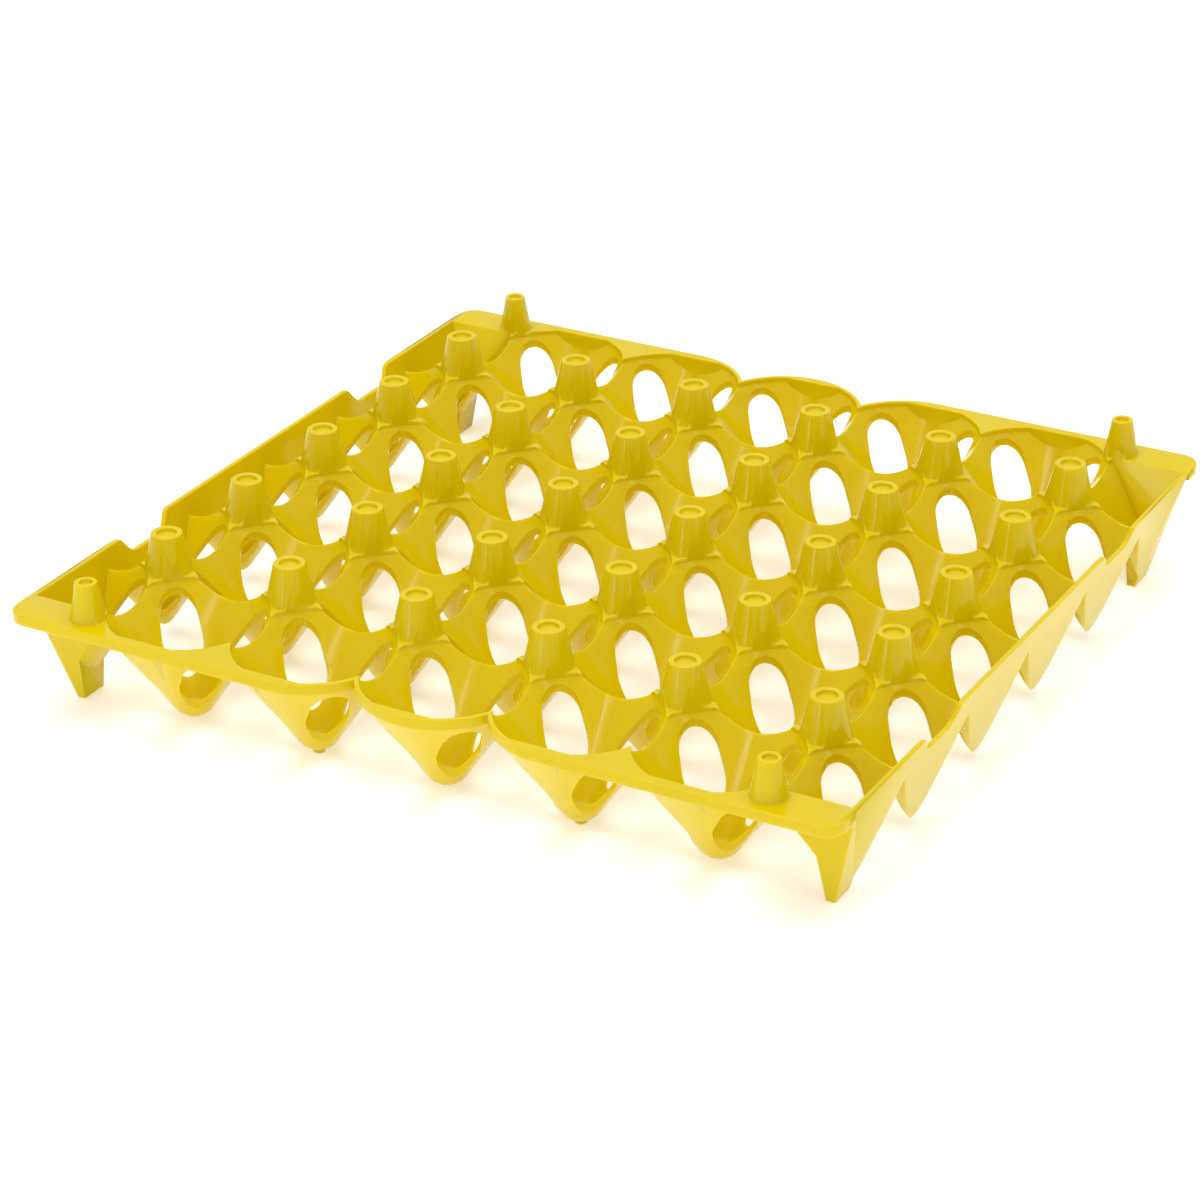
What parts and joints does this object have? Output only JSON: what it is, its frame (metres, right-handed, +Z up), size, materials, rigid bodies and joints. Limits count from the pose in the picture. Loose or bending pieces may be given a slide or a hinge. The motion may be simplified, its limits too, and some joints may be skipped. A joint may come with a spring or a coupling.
{
  "type": "egg tray",
  "caption": "Square injection-moulded plastic egg tray with conical cups, large side windows, hollow tapered posts, a turned-down rim and corner feet.",
  "frame": {"origin": "on the floor, in the middle of the tray", "axes": "+X along the five-cell side, +Y along the six-cell side, +Z up, out of the cups' mouths"},
  "size_m": [0.3008, 0.294, 0.0522],
  "materials": {
    "tray": "semi-gloss moulded polypropylene, even yellow"
  },
  "bodies": {
    "root": {"tray": "tray"}
  },
  "joints": []
}
